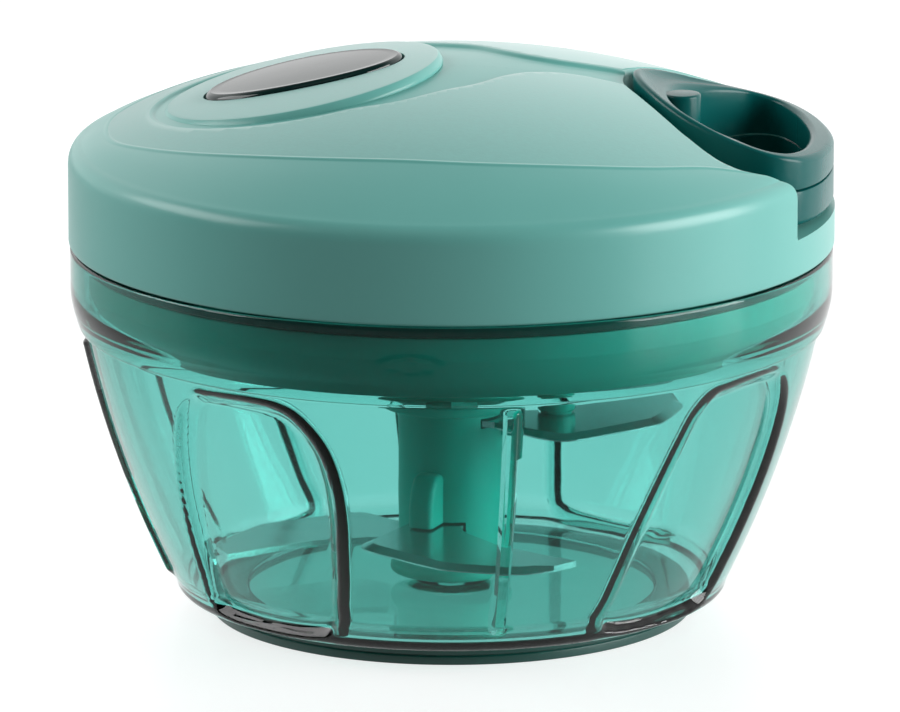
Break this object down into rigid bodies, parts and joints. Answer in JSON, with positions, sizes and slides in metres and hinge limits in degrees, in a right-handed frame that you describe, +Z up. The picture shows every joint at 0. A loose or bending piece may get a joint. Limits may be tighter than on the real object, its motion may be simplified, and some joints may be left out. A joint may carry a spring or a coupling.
{
  "type": "pull-cord food chopper",
  "caption": "Hand powered food chopper: clear sea-green bowl, mint domed lid with a dark ring handle that pulls out on a cord and spins steel blades.",
  "frame": {"origin": "middle of the base, on the surface that the chopper stands on", "axes": "+Z up through the blade column, +X the way the handle pulls out of the lid"},
  "size_m": [0.125, 0.125, 0.0918],
  "materials": {
    "clear_teal": "clear gloss",
    "mint_plastic": "fine matt grain",
    "dark_teal": "gloss",
    "teal_plastic": "satin",
    "foot_rubber": "matt",
    "inner_plastic": "matt",
    "cord_fibre": "braided",
    "steel": "brushed"
  },
  "bodies": {
    "bowl_body": {"bowl": "clear_teal", "base_ring": "foot_rubber", "bowl_pin": "steel"},
    "blades_body": {"blade_column": "teal_plastic", "column_cap": "teal_plastic", "column_bush": "inner_plastic", "blade_lower": "steel", "blade_middle": "steel", "blade_upper": "steel"},
    "lid_body": {"lid_cover": "mint_plastic", "badge_plate": "dark_teal", "lid_base": "mint_plastic", "lid_seal": "foot_rubber", "lid_screw_1": "steel", "lid_screw_2": "steel", "lid_screw_3": "steel", "lid_screw_4": "steel", "spindle": "steel", "spring_arbor": "inner_plastic", "recoil_spring": "steel", "cord_run": "cord_fibre", "cord_guide": "steel"},
    "hub_body": {"drive_hub": "inner_plastic"},
    "spool_body": {"spool": "inner_plastic", "spool_cap": "inner_plastic", "cord_winding": "cord_fibre"},
    "pawl_1_body": {"pawl_1": "steel"},
    "pawl_2_body": {"pawl_2": "steel"},
    "handle_body": {"handle_upper": "dark_teal", "handle_lower": "dark_teal", "handle_screw_1": "steel", "handle_screw_2": "steel", "cord_lead": "cord_fibre", "cord_knot": "cord_fibre"}
  },
  "joints": [
    {"name": "lid_lift", "type": "slide", "parent": "bowl_body", "child": "lid_body", "axis": [0, 0, 1], "range_m": [0, 0.09]},
    {"name": "handle_pull", "type": "slide", "parent": "lid_body", "child": "handle_body", "axis": [1, 0, 0], "range_m": [0, 0.32], "stiffness_N_per_m": 12, "springref_m": -0.25},
    {"name": "spool_spin", "type": "hinge", "parent": "lid_body", "child": "spool_body", "pos_m": [0, 0, 0.07], "axis": [0, 0, 1], "range_deg": [0, 1071.5]},
    {"name": "hub_spin", "type": "hinge", "parent": "lid_body", "child": "hub_body", "pos_m": [0, 0, 0.07], "axis": [0, 0, 1], "range_deg": [0, 1071.5]},
    {"name": "blade_spin", "type": "hinge", "parent": "bowl_body", "child": "blades_body", "pos_m": [0, 0, 0.02], "axis": [0, 0, 1], "range_deg": [0, 1071.5]},
    {"name": "pawl_1_swing", "type": "hinge", "parent": "spool_body", "child": "pawl_1_body", "pos_m": [0.0074, 0, 0.066], "axis": [0, 0, 1], "range_deg": [0, 12], "stiffness_Nm_per_rad": 0.001, "springref_deg": -5.73},
    {"name": "pawl_2_swing", "type": "hinge", "parent": "spool_body", "child": "pawl_2_body", "pos_m": [-0.0074, 0, 0.066], "axis": [0, 0, 1], "range_deg": [0, 12], "stiffness_Nm_per_rad": 0.001, "springref_deg": -5.73}
  ],
  "couplings": [
    {"joint": "spool_spin", "follows": "handle_pull", "rad_per_m": 58.14},
    {"joint": "hub_spin", "follows": "handle_pull", "rad_per_m": 58.14},
    {"joint": "blade_spin", "follows": "handle_pull", "rad_per_m": 58.14}
  ]
}
